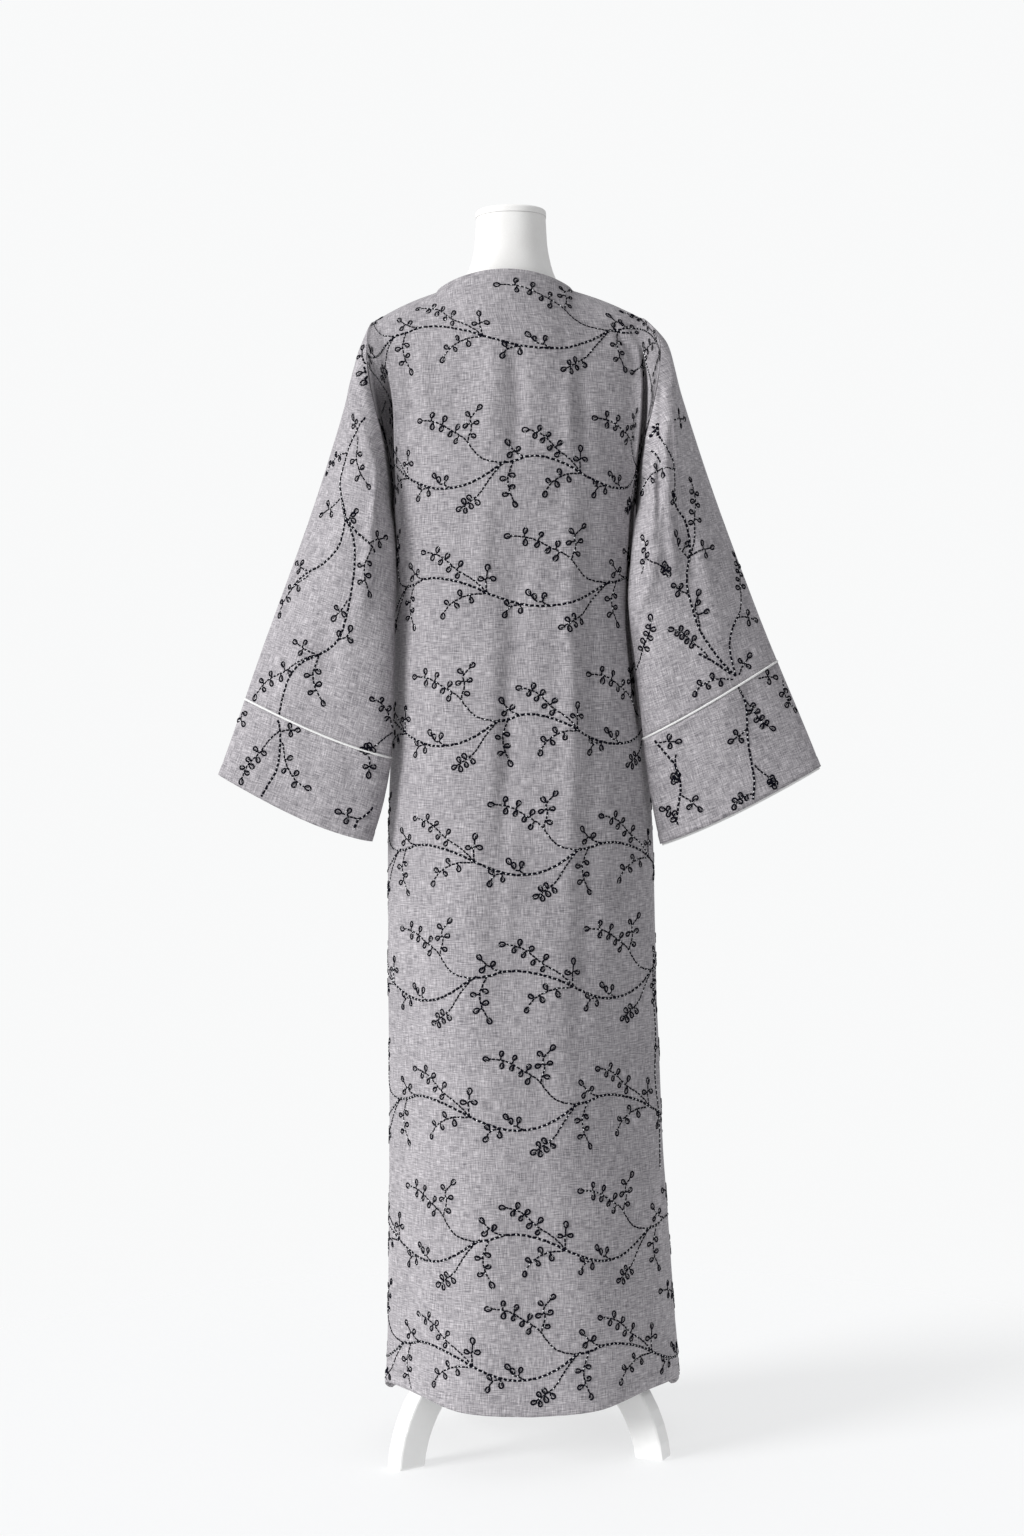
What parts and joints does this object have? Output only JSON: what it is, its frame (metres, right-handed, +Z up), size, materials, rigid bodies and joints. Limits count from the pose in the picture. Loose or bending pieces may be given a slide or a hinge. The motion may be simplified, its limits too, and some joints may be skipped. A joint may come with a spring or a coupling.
{
  "type": "open-front abaya on limbless dress form stand",
  "caption": "Full-length open-front abaya with wide flared sleeves, piped cuff bands and leaf-vine embroidery, resting on a limbless dress form with a tripod stand.",
  "frame": {"origin": "on the floor under the middle of the object's outer box", "axes": "+Z up, +X towards the wearer's left sleeve, +Y towards the back of the garment, which is the side in the picture; the open front faces -Y"},
  "size_m": [0.739, 0.3439, 1.524],
  "materials": {
    "linen_cloth": "soft grey melange weave with dark vine embroidery",
    "white_piping": "white cotton cord and strip",
    "form_cover": "smooth off-white stretched jersey cover",
    "white_wood": "white satin paint",
    "white_metal": "white satin powder coat"
  },
  "bodies": {
    "root": {"back_panel": "linen_cloth", "front_left": "linen_cloth", "front_right": "linen_cloth", "sleeve_left": "linen_cloth", "sleeve_right": "linen_cloth", "cuff_left": "linen_cloth", "cuff_right": "linen_cloth", "piping_left": "white_piping", "piping_right": "white_piping", "cuff_edging_right": "white_piping", "form_torso": "form_cover", "neck_cap": "form_cover", "pole": "white_metal", "hub": "white_wood", "leg_1": "white_wood", "leg_2": "white_wood", "leg_3": "white_wood"}
  },
  "joints": []
}
